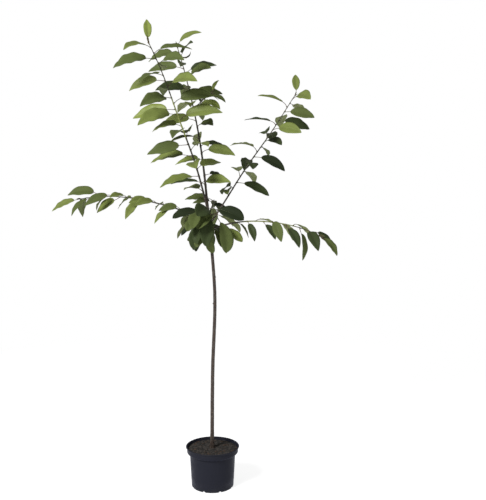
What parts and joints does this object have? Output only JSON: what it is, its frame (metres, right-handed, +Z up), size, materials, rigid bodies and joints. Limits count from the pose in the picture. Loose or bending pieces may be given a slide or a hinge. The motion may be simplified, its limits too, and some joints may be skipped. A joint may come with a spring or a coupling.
{
  "type": "potted cherry tree",
  "caption": "Young sweet cherry tree with a tall clear stem, two upright leaders, side limbs and large drooping leaves, growing in a round plastic nursery pot of soil.",
  "frame": {"origin": "centre of the pot's flat underside", "axes": "+Z up along the pot's axis, -Y towards the side that the picture shows, +X to that view's right"},
  "size_m": [1.2217, 0.6095, 1.9964],
  "materials": {
    "bark": "satin",
    "leaf": "satin",
    "pot_plastic": "satin",
    "soil": "matte"
  },
  "bodies": {
    "root": {"pot": "pot_plastic", "potting_soil": "soil", "trunk": "bark", "bough_left_leader": "bark", "bough_right_leader": "bark", "bough_diagonal": "bark", "bough_left_arm": "bark", "bough_right_arm": "bark", "foliage_left_leader": "leaf", "foliage_right_leader": "leaf", "foliage_diagonal": "leaf", "foliage_left_arm": "leaf", "foliage_right_arm": "leaf", "foliage_spur_front_right": "leaf", "foliage_spur_front_left": "leaf", "foliage_spur_front_low": "leaf", "foliage_spur_left": "leaf", "foliage_spur_right": "leaf", "foliage_back_shoot": "leaf", "foliage_spur_back_low": "leaf"}
  },
  "joints": []
}
